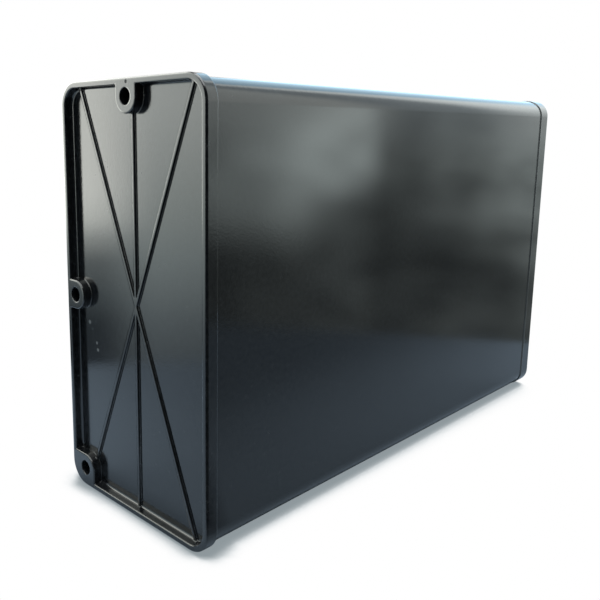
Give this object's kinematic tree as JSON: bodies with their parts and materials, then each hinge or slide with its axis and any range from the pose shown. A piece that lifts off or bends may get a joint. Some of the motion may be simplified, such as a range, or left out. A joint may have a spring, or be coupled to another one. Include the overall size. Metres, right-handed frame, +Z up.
{
  "type": "plastic housing",
  "caption": "Deep rectangular moulded plastic housing, open at one end, closed at the other by a recessed rib-stiffened panel with screw bosses inside a collar.",
  "frame": {"origin": "under the middle of the housing, on the surface that it stands on", "axes": "+X along the length from the ribbed end to the open mouth, +Y across the width, +Z up"},
  "size_m": [0.25, 0.082, 0.16],
  "materials": {
    "housing": "semi-gloss black with a fine moulded grain"
  },
  "bodies": {
    "root": {"housing": "housing"}
  },
  "joints": []
}
